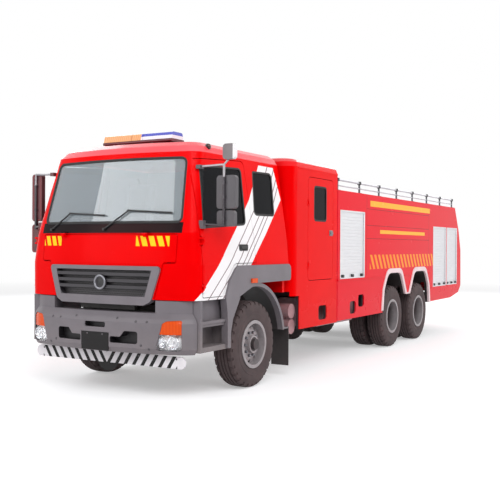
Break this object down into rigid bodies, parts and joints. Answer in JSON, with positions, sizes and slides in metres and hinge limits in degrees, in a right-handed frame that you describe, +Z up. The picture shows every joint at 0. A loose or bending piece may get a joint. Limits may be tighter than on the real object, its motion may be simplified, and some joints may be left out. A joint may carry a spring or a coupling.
{
  "type": "fire truck",
  "caption": "Three-axle fire truck with a tilt-fronted cab, a crew cabin behind it and a long equipment body with roller shutters.",
  "frame": {"origin": "on the ground at the middle of the truck's length and width", "axes": "+Z up; the truck faces -Y; +X is its left side"},
  "size_m": [3.0555, 10.3558, 3.0521],
  "materials": {
    "tyre": "worn, dusty black rubber",
    "rim_silver": "silver paint, dusty",
    "chassis_black": "satin black paint",
    "red_paint": "gloss red paint",
    "glass": "clear, slightly tinted",
    "grey_plastic": "moulded mid grey",
    "black_plastic": "moulded black",
    "lamp_clear": "clear lens",
    "lamp_amber": "amber and red lens",
    "board_paint": "white with black slanted stripes",
    "seat_cloth": "dark woven seat cloth",
    "bellows_rubber": "black rubber",
    "deck_metal": "chequered plate",
    "shutter_metal": "satin white slats",
    "mudguard_trim": "pale rim, black inside",
    "rail_steel": "brushed tube"
  },
  "bodies": {
    "root": {"axles": "chassis_black", "body_deck": "deck_metal", "body_ends": "red_paint", "body_floor": "chassis_black", "body_sides": "red_paint", "bumper": "grey_plastic", "cab_bellows": "bellows_rubber", "cab_shell": "red_paint", "cab_steps": "black_plastic", "chassis_frame": "chassis_black", "crew_shell": "red_paint", "dashboard": "black_plastic", "drive_shafts": "chassis_black", "engine": "chassis_black", "front_boards": "board_paint", "front_mudguards": "grey_plastic", "headlamps": "lamp_clear", "leaf_springs": "chassis_black", "light_bar": "black_plastic", "light_bar_lenses": "lamp_clear", "marker_lamps": "lamp_amber", "quarter_glass": "glass", "rear_mudguards": "mudguard_trim", "roof_rails": "rail_steel", "seats": "seat_cloth", "shutters": "shutter_metal", "side_tanks": "chassis_black", "windshield": "glass", "wipers": "black_plastic"},
    "wheel_front_left": {"tyre_front_left": "tyre", "rim_front_left": "rim_silver"},
    "wheel_front_right": {"tyre_front_right": "tyre", "rim_front_right": "rim_silver"},
    "wheel_middle_left": {"tyres_middle_left": "tyre", "rims_middle_left": "rim_silver"},
    "wheel_middle_right": {"tyres_middle_right": "tyre", "rims_middle_right": "rim_silver"},
    "wheel_rear_left": {"tyres_rear_left": "tyre", "rims_rear_left": "rim_silver"},
    "wheel_rear_right": {"tyres_rear_right": "tyre", "rims_rear_right": "rim_silver"},
    "steer_left": {"knuckle_left": "chassis_black"},
    "door_left": {"cab_door_left": "red_paint", "door_glass_left": "glass", "mirror_left": "black_plastic"},
    "crew_entry_left": {"crew_door_left": "red_paint", "crew_glass_left": "glass"},
    "steer_right": {"knuckle_right": "chassis_black"},
    "door_right": {"cab_door_right": "red_paint", "door_glass_right": "glass", "mirror_right": "black_plastic"},
    "crew_entry_right": {"crew_door_right": "red_paint", "crew_glass_right": "glass"},
    "lid": {"front_lid": "red_paint", "grille": "grey_plastic"}
  },
  "joints": [
    {"name": "steering_left", "type": "hinge", "parent": "root", "child": "steer_left", "pos_m": [0.975, -3.695, 0.5225], "axis": [0, 0, 1], "range_deg": [-38, 38]},
    {"name": "wheel_front_left_spin", "type": "hinge", "parent": "steer_left", "child": "wheel_front_left", "pos_m": [1.0855, -3.695, 0.5225], "axis": [1, 0, 0], "continuous": true},
    {"name": "wheel_middle_left_spin", "type": "hinge", "parent": "root", "child": "wheel_middle_left", "pos_m": [0.9205, 1.038, 0.5225], "axis": [1, 0, 0], "continuous": true},
    {"name": "wheel_rear_left_spin", "type": "hinge", "parent": "root", "child": "wheel_rear_left", "pos_m": [0.9205, 2.399, 0.5225], "axis": [1, 0, 0], "continuous": true},
    {"name": "cab_door_left_hinge", "type": "hinge", "parent": "root", "child": "door_left", "pos_m": [1.243, -4.829, 1.5], "axis": [0, 0, -1], "range_deg": [0, 70]},
    {"name": "crew_door_left_hinge", "type": "hinge", "parent": "root", "child": "crew_entry_left", "pos_m": [1.248, -2.284, 1.9], "axis": [0, 0, -1], "range_deg": [0, 80]},
    {"name": "steering_right", "type": "hinge", "parent": "root", "child": "steer_right", "pos_m": [-0.975, -3.695, 0.5225], "axis": [0, 0, 1], "range_deg": [-38, 38]},
    {"name": "wheel_front_right_spin", "type": "hinge", "parent": "steer_right", "child": "wheel_front_right", "pos_m": [-1.0855, -3.695, 0.5225], "axis": [1, 0, 0], "continuous": true},
    {"name": "wheel_middle_right_spin", "type": "hinge", "parent": "root", "child": "wheel_middle_right", "pos_m": [-0.9205, 1.038, 0.5225], "axis": [1, 0, 0], "continuous": true},
    {"name": "wheel_rear_right_spin", "type": "hinge", "parent": "root", "child": "wheel_rear_right", "pos_m": [-0.9205, 2.399, 0.5225], "axis": [1, 0, 0], "continuous": true},
    {"name": "cab_door_right_hinge", "type": "hinge", "parent": "root", "child": "door_right", "pos_m": [-1.243, -4.829, 1.5], "axis": [0, 0, 1], "range_deg": [0, 70]},
    {"name": "crew_door_right_hinge", "type": "hinge", "parent": "root", "child": "crew_entry_right", "pos_m": [-1.248, -2.284, 1.9], "axis": [0, 0, 1], "range_deg": [0, 80]},
    {"name": "front_lid_hinge", "type": "hinge", "parent": "root", "child": "lid", "pos_m": [0, -5.05503, 1.84], "axis": [-1, 0, 0], "range_deg": [0, 75]}
  ],
  "couplings": [
    {"joint": "steering_right", "follows": "steering_left", "ratio": 1}
  ]
}
